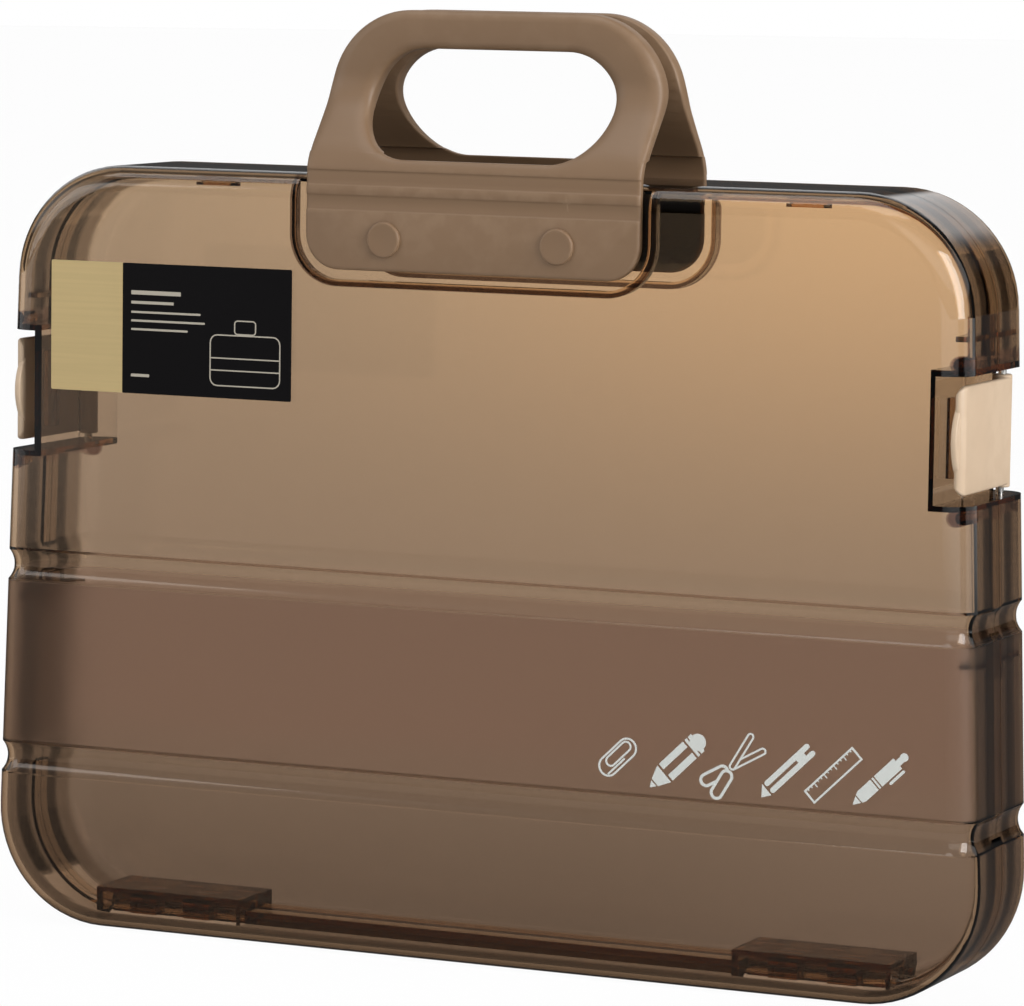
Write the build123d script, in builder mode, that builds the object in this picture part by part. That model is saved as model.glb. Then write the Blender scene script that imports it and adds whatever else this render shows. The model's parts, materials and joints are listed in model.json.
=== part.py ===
from build123d import *
import math
import os

os.makedirs("parts", exist_ok=True)

# Clamshell document case, in millimetres. It stands on its hinge edge with the origin
# under its middle: X runs along the width, the front faces -Y and Z is up.

# Shells
case_width = 328.0
width_height = 100.0
end_lean = 2.0
case_height = 243.0
shell_depth = 27.0
corner_radius = 37.0
edge_radius = 8.0
wall = 2.0
parting_gap = 0.3
rim_thickness = 3.2
rim_depth = 4.0

# Grooves that run round the sides and across both faces
lower_groove_height = 53.3
upper_groove_drop = 36.8
groove_opening = 9.6
groove_depth = 1.8

# Case hinge
hinge_end_inset = 30.0
hinge_length = 48.0
hinge_floor_gap = 0.5
hinge_pocket_depth = 9.5
hinge_pocket_gap = 0.8
knuckle_radius = 4.0
knuckle_count = 5
knuckle_gap = 0.3
hinge_pin_radius = 1.5
running_clearance = 0.05
opening_half_angle = 56.0
hinge_bar_height = 7.0
hinge_bar_depth = 7.5

# Side latches
latch_pocket_inset = 10.5
latch_pocket_drop = 91.0
latch_pocket_height = 38.2
pocket_wall = 1.8
latch_side_gap = 2.9
latch_setback = 2.0
latch_nose_radius = 3.0
latch_thickness = 2.2
latch_barrel_radius = 3.0
latch_pivot_depth = 17.0
latch_pin_radius = 1.25
latch_pin_seat = 1.5
tab_height = 20.5
tab_reach = 2.4
tab_thickness = 2.2
catch_height = 24.0
catch_depth = 14.0
catch_thickness = 4.0
catch_clearance = 0.7
hook_reach = 3.4
boss_radius = 2.1
boss_inset = 3.0
boss_offset = 3.5
boss_length = 8.5

# Handles
handle_width = 112.0
plate_height = 29.3
grip_height = 50.4
handle_corner_radius = 11.0
handle_recess_depth = 3.0
handle_recess_margin = 3.0
plate_thickness = 2.7
flex_axis_rise = 1.5
flex_gap = 0.3
flex_channel_depth = 0.5
flex_channel_spans = ((-10.9, -6.3), (-3.2, 1.3))
grip_thickness = 7.0
grip_inner_depth = 4.0
grip_bend_height = 25.5
grip_corner_radius = 27.0
grip_bend_radius = 8.0
ledge_height = 7.0
ledge_step = 1.8
slot_width = 82.0
slot_height = 33.8
slot_rise = 4.9
rivet_spacing = 58.0
rivet_rise = 9.8
rivet_head_radius = 5.5
rivet_head_height = 1.2
rivet_shank_radius = 2.5
rivet_cap_radius = 4.6
rivet_cap_height = 1.6
rivet_hole_clearance = 0.1

# Inner ribs and locating tongues
lower_rib_drop = 11.3
upper_rib_rise = 10.6
rib_thickness = 1.6
rib_reach = 3.0
rib_length = 15.0
tongue_width = 12.0
tongue_thickness = 1.6
tongue_overlap = 3.0
tongue_gap = 0.5
top_tongue_inset = 64.0

# Label and printed pictograms
label_inset = 19.1
label_drop = 70.9
label_width = 84.8
label_height = 40.9
label_thickness = 0.25
label_corner_radius = 1.0
print_thickness = 0.15
print_rise = 16.4
print_insets = (112.1, 92.7, 74.6, 57.1, 42.2, 27.2)
print_line = 0.6
print_tilt = 44.0

# Worked-out places
half_width = case_width / 2
front_reach = shell_depth + tab_reach
plate_outer_depth = shell_depth - handle_recess_depth + plate_thickness
rear_reach = plate_outer_depth + rivet_head_height
parting_y = (front_reach - rear_reach) / 2
hinge_axis_height = knuckle_radius + hinge_floor_gap
hinge_pocket_height = hinge_axis_height + knuckle_radius + hinge_pocket_gap
hinge_inner_x = half_width - hinge_end_inset - hinge_length
latch_pocket_bottom = case_height - latch_pocket_drop
latch_pocket_top = latch_pocket_bottom + latch_pocket_height
latch_mid_z = latch_pocket_bottom + latch_pocket_height / 2
latch_height = latch_pocket_height - 2 * latch_side_gap
handle_bottom = case_height - plate_height
handle_top = case_height + grip_height
flex_axis_z = case_height + flex_axis_rise
slot_bottom = case_height + slot_rise
rivet_height = handle_bottom + rivet_rise
groove_heights = (lower_groove_height, latch_pocket_bottom - upper_groove_drop)
groove_radius = ((groove_opening / 2) ** 2 + groove_depth**2) / (2 * groove_depth)
rib_heights = (groove_heights[1] - lower_rib_drop, latch_pocket_top + upper_rib_rise)
print_height = lower_groove_height + print_rise
top_tongue_x = half_width - top_tongue_inset
FRONT = -1
REAR = 1


def half_width_at(height):
    """Half the width of the case at one height: both ends lean inward toward the top."""
    return half_width - (height - width_height) * math.tan(math.radians(end_lean))


latch_reach = half_width_at(latch_mid_z)


def depth_y(side, depth):
    """Y of a place that lies `depth` outward of the parting plane on one side."""
    return parting_y + side * depth


def side_plane(side, depth):
    """Plane parallel to the faces, facing outward, with local Y up."""
    return Plane(origin=(0, depth_y(side, depth), 0), x_dir=(-side, 0, 0), z_dir=(0, side, 0))


def profile_plane(side, half_length):
    """Plane across the case: local X runs outward in depth, local Y is up."""
    return Plane(origin=(-side * half_length, parting_y, 0), x_dir=(0, side, 0), z_dir=(side, 0, 0))


def span_box(x_span, depth_span, z_span, side, mode):
    """Box between two limits along X, depth from the parting plane and Z."""
    y_low, y_high = sorted(depth_y(side, depth) for depth in depth_span)
    centre = (sum(x_span) / 2, (y_low + y_high) / 2, sum(z_span) / 2)
    with Locations(centre):
        Box(abs(x_span[1] - x_span[0]), y_high - y_low, abs(z_span[1] - z_span[0]), mode=mode)


def rounded_slab(side, start, end, inset, mode=Mode.ADD):
    """The case outline drawn in by `inset`, from one depth to another."""
    low = inset
    high = case_height - inset
    low_x = half_width_at(low) - inset
    high_x = half_width_at(high) - inset
    with BuildSketch(side_plane(side, start)) as outline:
        with BuildLine():
            FilletPolyline((-low_x, low), (low_x, low), (high_x, high), (-high_x, high),
                           radius=corner_radius - inset, close=True)
        make_face()
    extrude(outline.sketch, amount=end - start, mode=mode)


def face_edges(part, side):
    """Edges of the outermost face across the depth."""
    order = 0 if side == FRONT else -1
    return part.faces().filter_by(Axis.Y).sort_by(Axis.Y)[order].edges()


def groove_sweep(side, height, radius, mode):
    """Round bar centred outside the outline at one height, from parting plane to parting plane."""
    reach = half_width_at(height)
    with BuildLine(Plane.XY.offset(height)) as path:
        run = Line((reach, depth_y(side, 0)), (reach, depth_y(side, shell_depth - edge_radius)))
        bend = TangentArc(
            run @ 1,
            (reach - edge_radius, depth_y(side, shell_depth)),
            tangent=run % 1,
        )
        cross = Line(bend @ 1, (-reach + edge_radius, depth_y(side, shell_depth)))
        second = TangentArc(
            cross @ 1,
            (-reach, depth_y(side, shell_depth - edge_radius)),
            tangent=cross % 1,
        )
        Line(second @ 1, (-reach, depth_y(side, 0)))
    start = Plane(origin=(reach, parting_y, height), x_dir=(1, 0, 0), z_dir=(0, side, 0))
    with BuildSketch(start) as profile:
        with Locations((groove_radius - groove_depth, 0)):
            Circle(radius)
    sweep(sections=profile.sketch, path=path.line, mode=mode)


def cut_handle_recess(side, extra, mode):
    """Seat of the handle plate in one face, grown by `extra` for the wall round it."""
    reach = handle_width / 2 + handle_recess_margin + extra
    low = handle_bottom - handle_recess_margin - extra
    floor_depth = shell_depth - handle_recess_depth - extra
    with BuildSketch(side_plane(side, floor_depth)) as seat:
        with BuildLine():
            FilletPolyline(
                (-reach, case_height + wall),
                (-reach, low),
                (reach, low),
                (reach, case_height + wall),
                radius=handle_corner_radius + handle_recess_margin + extra,
            )
            Line((reach, case_height + wall), (-reach, case_height + wall))
        make_face()
    extrude(seat.sketch, amount=handle_recess_depth + wall + extra, mode=mode)


def latch_pockets(side, extra, mode):
    """Recesses that hold the latches, one at each end of the shell, open through its face."""
    floor_x = latch_reach - latch_pocket_inset - extra
    z_span = (latch_pocket_bottom - extra, latch_pocket_top + extra)
    for sign in (-1, 1):
        x_span = (sign * floor_x, sign * (latch_reach + latch_pocket_inset))
        span_box(x_span, (-wall, shell_depth + wall), z_span, side, mode)


def latch_bosses(side, mode):
    """Round bosses behind the face, above and below each latch recess."""
    with BuildSketch(side_plane(side, shell_depth - wall)) as ends:
        for height in (latch_pocket_bottom - boss_offset, latch_pocket_top + boss_offset):
            boss_x = half_width_at(height) - boss_inset
            with Locations((boss_x, height), (-boss_x, height)):
                Circle(boss_radius)
    extrude(ends.sketch, amount=-boss_length, mode=mode)


def hinge_pockets(side, extra, mode):
    """Open recesses in the bottom edge where the two hinges lie."""
    z_span = (-wall, hinge_pocket_height + extra)
    inner = hinge_inner_x - extra
    outer = hinge_inner_x + hinge_length + extra
    for sign in (-1, 1):
        span_box((sign * inner, sign * outer), (-wall, hinge_pocket_depth + extra), z_span, side, mode)


def knuckles(side):
    """Hinge knuckles of one shell: the rear shell has the odd ones, the front shell the rest."""
    pitch = hinge_length / knuckle_count
    first = 0 if side == REAR else 1
    arm_z = (hinge_axis_height - knuckle_radius / 2, hinge_pocket_height)
    for sign in (-1, 1):
        for index in range(first, knuckle_count, 2):
            low = hinge_inner_x + index * pitch + knuckle_gap / 2
            high = low + pitch - knuckle_gap
            if index == 0:
                low = hinge_inner_x
            if index == knuckle_count - 1:
                high = hinge_inner_x + hinge_length
            span = (sign * low, sign * high)
            span_box(span, (0, hinge_pocket_depth), arm_z, side, Mode.ADD)
            with Locations(Location((sign * (low + high) / 2, parting_y, hinge_axis_height), (0, 90, 0))):
                Cylinder(knuckle_radius, high - low)


def build_shell(side):
    """One half of the case: a thin tray with grooves, recesses, ribs and hinge knuckles."""
    with BuildPart() as cavity:
        rounded_slab(side, rim_depth, shell_depth - wall, wall)
        fillet(face_edges(cavity.part, side), edge_radius - wall)
        rounded_slab(side, -wall, rim_depth, rim_thickness)
        for height in groove_heights:
            groove_sweep(side, height, groove_radius + wall, Mode.SUBTRACT)
        cut_handle_recess(side, wall, Mode.SUBTRACT)
        latch_pockets(side, pocket_wall, Mode.SUBTRACT)
        hinge_pockets(side, pocket_wall, Mode.SUBTRACT)
        if side == FRONT:
            latch_bosses(side, Mode.SUBTRACT)
        bar_reach = half_width - corner_radius
        span_box((-bar_reach, bar_reach), (-wall, hinge_bar_depth), (0, hinge_bar_height), side, Mode.SUBTRACT)
        for sign in (-1, 1):
            for rib_z in rib_heights:
                rib_z_span = (rib_z - rib_thickness / 2, rib_z + rib_thickness / 2)
                rib_end = half_width_at(rib_z) - rim_thickness - rib_reach
                rib_x = (sign * half_width_at(rib_z), sign * rib_end)
                span_box(rib_x, (rim_depth, rim_depth + rib_length), rib_z_span, side, Mode.SUBTRACT)

    with BuildPart() as shell:
        rounded_slab(side, parting_gap / 2, shell_depth, 0)
        fillet(face_edges(shell.part, side), edge_radius)
        add(cavity.part, mode=Mode.SUBTRACT)
        for height in groove_heights:
            groove_sweep(side, height, groove_radius, Mode.SUBTRACT)
        cut_handle_recess(side, 0, Mode.SUBTRACT)
        latch_pockets(side, 0, Mode.SUBTRACT)
        hinge_pockets(side, 0, Mode.SUBTRACT)
        relief = hinge_axis_height * math.tan(math.radians(opening_half_angle))
        reach = hinge_inner_x + hinge_length + corner_radius
        with BuildSketch(profile_plane(side, reach)):
            with BuildLine():
                Polyline((-wall, hinge_axis_height), (0, hinge_axis_height), (relief, 0),
                         (relief, -wall), (-wall, -wall), close=True)
            make_face()
        extrude(amount=2 * reach, mode=Mode.SUBTRACT)
        knuckles(side)
        hole_radius = hinge_pin_radius + running_clearance
        for sign in (-1, 1):
            middle = sign * (hinge_inner_x + hinge_length / 2)
            with Locations(Location((middle, parting_y, hinge_axis_height), (0, 90, 0))):
                Cylinder(hole_radius, hinge_length, mode=Mode.SUBTRACT)
        rivet_seat = shell_depth - handle_recess_depth - wall / 2
        for sign in (-1, 1):
            centre = (sign * rivet_spacing / 2, depth_y(side, rivet_seat), rivet_height)
            with Locations(Location(centre, (90, 0, 0))):
                Cylinder(rivet_shank_radius + rivet_hole_clearance, 2 * wall, mode=Mode.SUBTRACT)
    return shell


def build_latch(sign):
    """Latch that wraps one end of the case: a curved plate, hinge barrel, hook and thumb tab."""
    outer_x = latch_reach - latch_setback
    front_depth = shell_depth - latch_setback
    outer_round = latch_nose_radius
    inner_round = outer_round - latch_thickness
    pivot_x = outer_x - latch_barrel_radius
    tip_x = outer_x - outer_round
    bend_depth = front_depth - outer_round
    low = latch_mid_z - latch_height / 2
    start = low if sign == 1 else low + latch_height
    level = Plane(origin=(0, parting_y, start), x_dir=(sign, 0, 0), z_dir=(0, 0, sign))
    with BuildPart() as latch:
        with BuildSketch(level):
            with BuildLine():
                outer_run = Line((outer_x, latch_pivot_depth), (outer_x, -bend_depth))
                outer_arc = RadiusArc(outer_run @ 1, (tip_x, -front_depth), outer_round)
                tip = Line(outer_arc @ 1, (tip_x, -front_depth + latch_thickness))
                inner_arc = RadiusArc(tip @ 1, (outer_x - latch_thickness, -bend_depth), -inner_round)
                inner_run = Line(inner_arc @ 1, (outer_x - latch_thickness, latch_pivot_depth))
                Line(inner_run @ 1, outer_run @ 0)
            make_face()
        extrude(amount=latch_height)
        barrel_length = latch_pocket_height - 2 * knuckle_gap
        with Locations((sign * pivot_x, depth_y(REAR, latch_pivot_depth), latch_mid_z)):
            Cylinder(latch_barrel_radius, barrel_length)
        hook_root = outer_x - latch_thickness / 2
        hook_span = (sign * (hook_root - hook_reach), sign * hook_root)
        hook_depth = (catch_depth - catch_thickness / 2, catch_depth + catch_thickness / 2)
        hook_z = (latch_mid_z - catch_height / 2, latch_mid_z + catch_height / 2)
        span_box(hook_span, hook_depth, hook_z, FRONT, Mode.ADD)
        tab_rise = tab_reach + latch_setback
        tab_radius = ((tab_height / 2) ** 2 + tab_rise**2) / (2 * tab_rise)
        tab_centre = (depth_y(FRONT, front_reach - tab_radius), latch_mid_z)
        with BuildSketch(Plane.YZ.offset(sign * tip_x)):
            with Locations(tab_centre):
                Circle(tab_radius)
            with Locations((depth_y(FRONT, front_depth - latch_thickness) - tab_radius, latch_mid_z)):
                Rectangle(2 * tab_radius, 2 * tab_radius, mode=Mode.INTERSECT)
        extrude(amount=sign * tab_thickness)
        with Locations((sign * pivot_x, depth_y(REAR, latch_pivot_depth), latch_mid_z)):
            Cylinder(latch_pin_radius + running_clearance, latch_pocket_height, mode=Mode.SUBTRACT)
    return latch


def build_latch_pin(sign):
    """Pin that carries a latch, seated in the walls above and below its recess."""
    pivot_x = latch_reach - latch_setback - latch_barrel_radius
    with BuildPart() as pin:
        with Locations((sign * pivot_x, depth_y(REAR, latch_pivot_depth), latch_mid_z)):
            Cylinder(latch_pin_radius, latch_pocket_height + 2 * latch_pin_seat)
    return pin


def build_hinge_pin(sign):
    """Pin through the five knuckles of one hinge."""
    middle = sign * (hinge_inner_x + hinge_length / 2)
    with BuildPart() as pin:
        with Locations(Location((middle, parting_y, hinge_axis_height), (0, 90, 0))):
            Cylinder(hinge_pin_radius, hinge_length - 2 * knuckle_gap)
    return pin


def cut_flex_channels(side):
    """Shallow channels across the bend of a handle, above and below the top of the case."""
    reach = handle_width / 2 + wall
    depth_span = (plate_outer_depth - flex_channel_depth, plate_outer_depth + wall)
    for low, high in flex_channel_spans:
        z_span = (case_height + low, case_height + high)
        span_box((-reach, reach), depth_span, z_span, side, Mode.SUBTRACT)


def build_plate(side):
    """Fixed plate of a handle, seated in the recess and held by two rivets."""
    top = flex_axis_z - plate_thickness / 2 - flex_gap
    reach = handle_width / 2
    inner_depth = plate_outer_depth - plate_thickness
    with BuildPart() as plate:
        with BuildSketch(side_plane(side, inner_depth)):
            with BuildLine():
                FilletPolyline((-reach, top), (-reach, handle_bottom), (reach, handle_bottom), (reach, top),
                               radius=handle_corner_radius)
                Line((reach, top), (-reach, top))
            make_face()
        extrude(amount=plate_thickness)
        cut_flex_channels(side)
        for sign in (-1, 1):
            centre = (sign * rivet_spacing / 2, depth_y(side, plate_outer_depth), rivet_height)
            with Locations(Location(centre, (90, 0, 0))):
                Cylinder(rivet_shank_radius + rivet_hole_clearance, 3 * plate_thickness, mode=Mode.SUBTRACT)
    return plate


def build_grip(side):
    """Swinging grip of a handle: a thin web at the bend that thickens into the finger loop."""
    reach = handle_width / 2
    outer = plate_outer_depth
    inner = outer - plate_thickness
    grip_outer = grip_inner_depth + grip_thickness
    bend_z = case_height + grip_bend_height
    rise = flex_axis_z + 2 * flex_axis_rise
    ledge_z = case_height + ledge_height
    slope = (outer - grip_outer) / (bend_z - rise)
    web_inner = outer - slope * (ledge_z - rise) - plate_thickness
    with BuildPart() as grip:
        with BuildSketch(profile_plane(side, reach)) as profile:
            with BuildLine():
                Polyline(
                    (outer, flex_axis_z),
                    (outer, rise),
                    (grip_outer, bend_z),
                    (grip_outer, handle_top),
                    (grip_inner_depth, handle_top),
                    (grip_inner_depth, bend_z + flex_axis_rise),
                    (web_inner - ledge_step, ledge_z),
                    (web_inner, ledge_z),
                    (inner, rise),
                    (inner, flex_axis_z),
                    close=True,
                )
            make_face()
            bends = profile.vertices().filter_by(lambda corner: rise - 1 < corner.Y < bend_z + wall)
            fillet(bends.filter_by(lambda corner: abs(corner.Y - ledge_z) > 1), grip_bend_radius)
            with Locations((inner + plate_thickness / 2, flex_axis_z)):
                Circle(plate_thickness / 2)
        extrude(amount=2 * reach)
        with BuildSketch(side_plane(side, 0)):
            with BuildLine():
                low = flex_axis_z - plate_thickness
                FilletPolyline((-reach, low), (-reach, handle_top), (reach, handle_top), (reach, low),
                               radius=grip_corner_radius)
                Line((reach, low), (-reach, low))
            make_face()
        extrude(amount=shell_depth, mode=Mode.INTERSECT)
        with BuildSketch(side_plane(side, 0)):
            with Locations((0, slot_bottom + slot_height / 2)):
                SlotOverall(slot_width, slot_height)
        extrude(amount=shell_depth, mode=Mode.SUBTRACT)
        cut_flex_channels(side)
    return grip


def build_rivets(side):
    """Two domed rivets that hold a handle plate to its shell."""
    shank_end = shell_depth - handle_recess_depth - wall - rivet_cap_height
    with BuildPart() as rivets:
        for sign in (-1, 1):
            place = Plane(
                origin=(sign * rivet_spacing / 2, depth_y(side, plate_outer_depth), rivet_height),
                x_dir=(-side, 0, 0),
                z_dir=(0, side, 0),
            )
            with BuildSketch(place):
                Circle(rivet_head_radius)
            extrude(amount=rivet_head_height)
            with BuildSketch(place):
                Circle(rivet_shank_radius)
            extrude(amount=shank_end - plate_outer_depth)
        fillet(face_edges(rivets.part, side), rivet_head_height / 2)
    return rivets


def build_rivet_caps(side):
    """Rings pressed on the rivet ends inside the shell."""
    seat = shell_depth - handle_recess_depth - wall
    with BuildPart() as caps:
        for sign in (-1, 1):
            place = Plane(
                origin=(sign * rivet_spacing / 2, depth_y(side, seat), rivet_height),
                x_dir=(-side, 0, 0),
                z_dir=(0, side, 0),
            )
            with BuildSketch(place):
                Circle(rivet_cap_radius)
                Circle(rivet_shank_radius, mode=Mode.SUBTRACT)
            extrude(amount=-rivet_cap_height)
    return caps


def add_tongues():
    """Locating tongues on the rear shell that reach inside the front rim."""
    inset = rim_thickness + tongue_gap
    for sign in (-1, 1):
        top = case_height - inset
        x_span = (sign * (top_tongue_x - tongue_width / 2), sign * (top_tongue_x + tongue_width / 2))
        span_box(x_span, (-tongue_overlap, rim_depth), (top - tongue_thickness, top), REAR, Mode.ADD)
        root_z = (top - tongue_thickness, case_height - wall)
        span_box(x_span, (parting_gap, rim_depth), root_z, REAR, Mode.ADD)
        for rib_z in rib_heights:
            outer = half_width_at(rib_z) - inset
            z_span = (rib_z - tongue_width / 2, rib_z + tongue_width / 2)
            x_span = (sign * (outer - tongue_thickness), sign * outer)
            span_box(x_span, (-tongue_overlap, rim_depth), z_span, REAR, Mode.ADD)
            root_x = (sign * (outer - tongue_thickness), sign * (half_width_at(rib_z) - wall))
            span_box(root_x, (parting_gap, rim_depth), z_span, REAR, Mode.ADD)


def add_catches():
    """Catch blocks on the floor of the front latch recesses."""
    floor_x = latch_reach - latch_pocket_inset
    hook_tip = latch_reach - latch_setback - latch_thickness / 2 - hook_reach
    z_span = (latch_mid_z - catch_height / 2, latch_mid_z + catch_height / 2)
    depth_span = (catch_depth - catch_thickness / 2, catch_depth + catch_thickness / 2)
    for sign in (-1, 1):
        x_span = (sign * (floor_x - pocket_wall / 2), sign * (hook_tip - catch_clearance))
        span_box(x_span, depth_span, z_span, FRONT, Mode.ADD)


def pin_seats():
    """Blind holes for the latch pins in the walls of the rear recesses."""
    pivot_x = latch_reach - latch_setback - latch_barrel_radius
    for sign in (-1, 1):
        with Locations((sign * pivot_x, depth_y(REAR, latch_pivot_depth), latch_mid_z)):
            Cylinder(latch_pin_radius, latch_pocket_height + 2 * latch_pin_seat, mode=Mode.SUBTRACT)


def ring(length, width, line):
    """Outline of a long rounded loop."""
    SlotOverall(length, width)
    SlotOverall(length - 2 * line, width - 2 * line, mode=Mode.SUBTRACT)


def draw_clip():
    """Paper clip: two nested loops and the bent end of the wire."""
    length = 15
    width = 6.6
    ring(length, width, print_line)
    with Locations((print_line * 1.5, print_line)):
        ring(0.7 * length, 0.55 * width, print_line)
    with Locations((-0.15 * length, -0.27 * width)):
        Rectangle(length / 2, print_line)


def draw_pencil():
    """Pencil: pointed end, body with an open stripe, ferrule and eraser."""
    tip = -12
    half = 3.3
    lead = 1.2
    neck = -9.7
    shoulder = -5.6
    body = 10.6
    Polygon((tip, 0), (tip + 1.8, -lead), (tip + 1.8, lead), align=None)
    Polygon((neck, -1.5), (shoulder, -half), (shoulder, half), (neck, 1.5), align=None)
    stripe = 2 * half / 3
    for offset in (-stripe, stripe):
        with Locations((shoulder + 0.8 + body / 2, offset)):
            Rectangle(body, stripe)
    ferrule = shoulder + 2 + body
    with Locations((ferrule, 0)):
        Rectangle(0.9, 2 * half)
    with Locations((ferrule + 1.7, 0)):
        Rectangle(1.4, 2 * half)
    with Locations((ferrule + 2.4, 0)):
        Circle(0.8 * half)


def draw_scissors():
    """Scissors: two crossed blades and two finger rings."""
    half_angle = 15
    blade = 13.4
    handle = 10.4
    for turn in (-half_angle, half_angle):
        with Locations(Location((0, 0, 0), (0, 0, turn))):
            with Locations((blade / 2 - 1.1, 0)):
                ring(blade, 2.4, print_line)
            with Locations((-handle / 2 - 1.4, 0)):
                ring(handle, 4.4, 1.5 * print_line)


def draw_knife():
    """Craft knife: two rails, a slider button and a slanted blade tip."""
    rail = 19
    rail_width = 1.7
    for offset in (-0.8 * rail_width, 0.8 * rail_width):
        with Locations((1.4, offset)):
            SlotOverall(rail, rail_width)
    with Locations((rail / 3, 0)):
        Circle(rail_width)
    tip = -11.6
    edge = 2.2
    Polygon((tip, -0.6), (tip + 2.9, -edge), (tip + 2.9, edge), align=None)


def draw_ruler():
    """Ruler: open frame with graduation marks on one long side."""
    length = 21
    width = 5
    divisions = 15
    long_mark = 1.9
    short_mark = 1.1
    Rectangle(length, width)
    Rectangle(length - 2 * print_line, width - 2 * print_line, mode=Mode.SUBTRACT)
    for index in range(1, divisions):
        mark = long_mark if index % 3 == 0 else short_mark
        with Locations((-length / 2 + index * length / divisions, width / 2 - mark / 2)):
            Rectangle(print_line / 2, mark)


def draw_pen():
    """Pen: pointed tip, two-part barrel, pocket clip and push button."""
    tip = -12
    half = 2
    joint = -2.6
    barrel = 8.4
    Polygon((tip, 0), (tip + 2.4, -1.3), (tip + 2.4, 1.3), align=None)
    Polygon((tip + 2.8, -1.5), (tip + 4, -half), (joint, -half), (joint, half), (tip + 4, half),
            (tip + 2.8, 1.5), align=None)
    with Locations((joint + 0.8, 0)):
        Rectangle(print_line, 2 * half)
    middle = joint + 1.6 + barrel / 2
    with Locations((middle, 0)):
        Rectangle(barrel, 2 * half)
    with Locations((middle + barrel / 2 + 0.7, 0)):
        Rectangle(2.2, half)
    with Locations((middle + barrel / 2 + 2.8, 0)):
        Circle(0.65 * half)
    with Locations((middle + 1.2, -1.5 * half)):
        SlotOverall(0.75 * barrel, 1.5 * print_line)


PICTOGRAMS = (draw_clip, draw_pencil, draw_scissors, draw_knife, draw_ruler, draw_pen)

front_tray = build_shell(FRONT)
with BuildPart() as front_shell:
    add(front_tray.part)
    add_catches()

rear_tray = build_shell(REAR)
with BuildPart() as rear_shell:
    add(rear_tray.part)
    add_tongues()
    pin_seats()

with BuildPart() as label:
    with BuildSketch(side_plane(FRONT, shell_depth)):
        label_x = label_inset + label_width / 2 - half_width
        with Locations((label_x, case_height - label_drop + label_height / 2)):
            RectangleRounded(label_width, label_height, label_corner_radius)
    extrude(amount=label_thickness)

with BuildPart() as pictograms:
    with BuildSketch(side_plane(FRONT, shell_depth)):
        for draw, inset in zip(PICTOGRAMS, print_insets):
            with Locations(Location((half_width - inset, print_height, 0), (0, 0, print_tilt))):
                draw()
    extrude(amount=print_thickness)

pieces = {
    "front_shell": front_shell,
    "rear_shell": rear_shell,
    "label": label,
    "printed_pictograms": pictograms,
    "left_latch": build_latch(-1),
    "right_latch": build_latch(1),
    "left_latch_pin": build_latch_pin(-1),
    "right_latch_pin": build_latch_pin(1),
    "left_hinge_pin": build_hinge_pin(-1),
    "right_hinge_pin": build_hinge_pin(1),
}
for side, end in ((FRONT, "front"), (REAR, "rear")):
    pieces[end + "_handle_plate"] = build_plate(side)
    pieces[end + "_handle_grip"] = build_grip(side)
    pieces[end + "_handle_rivets"] = build_rivets(side)
    pieces[end + "_rivet_caps"] = build_rivet_caps(side)

for name, piece in pieces.items():
    piece.part.label = name
    export_step(piece.part, f"parts/{name}.step")
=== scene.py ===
import json
import logging
import math
from dataclasses import dataclass, field
from enum import Enum
from functools import reduce
from typing import Callable, Sequence

import bmesh
import bpy
from mathutils import Matrix, Vector
from mathutils.geometry import delaunay_2d_cdt


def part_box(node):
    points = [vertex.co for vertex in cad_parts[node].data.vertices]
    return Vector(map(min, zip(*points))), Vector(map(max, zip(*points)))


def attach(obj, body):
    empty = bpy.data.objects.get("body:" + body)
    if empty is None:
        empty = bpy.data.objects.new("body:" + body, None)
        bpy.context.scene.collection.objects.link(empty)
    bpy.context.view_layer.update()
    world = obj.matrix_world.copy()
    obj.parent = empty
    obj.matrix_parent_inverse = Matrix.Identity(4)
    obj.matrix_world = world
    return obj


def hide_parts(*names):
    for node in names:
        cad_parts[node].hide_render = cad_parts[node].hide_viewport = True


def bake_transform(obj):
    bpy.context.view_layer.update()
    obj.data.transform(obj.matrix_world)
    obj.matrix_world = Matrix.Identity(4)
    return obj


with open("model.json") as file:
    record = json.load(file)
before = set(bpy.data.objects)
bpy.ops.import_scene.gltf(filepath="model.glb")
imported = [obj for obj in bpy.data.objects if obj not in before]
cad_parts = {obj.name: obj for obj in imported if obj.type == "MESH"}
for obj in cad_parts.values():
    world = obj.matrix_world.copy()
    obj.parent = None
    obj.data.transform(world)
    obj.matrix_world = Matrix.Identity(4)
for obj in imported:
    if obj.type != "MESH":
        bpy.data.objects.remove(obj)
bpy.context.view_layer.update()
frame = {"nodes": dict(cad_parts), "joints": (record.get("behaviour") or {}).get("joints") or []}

MM = 0.001
LOG = logging.getLogger("document_case")

Colour = tuple[float, float, float]
Point = tuple[float, float, float]
Span = tuple[float, float]
Limits = tuple[float, float, float, float]
Material = bpy.types.Material
Piece = bpy.types.Object
Node = bpy.types.Node
Socket = bpy.types.NodeSocket
Sockets = bpy.types.bpy_prop_collection
Tree = bpy.types.NodeTree
Draft = bmesh.types.BMesh
Vertex = bmesh.types.BMVert
Ring = list[Vertex]

WHITE = (1.0, 1.0, 1.0)
MERGE = 0.001 * MM
QUARTER = math.pi / 2
LATCH_HEIGHT = 171.1 * MM
JOINTS = {joint["name"]: joint for joint in frame["joints"]}
PARTING_Y = JOINTS["case_open"]["pos_m"][1]


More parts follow.
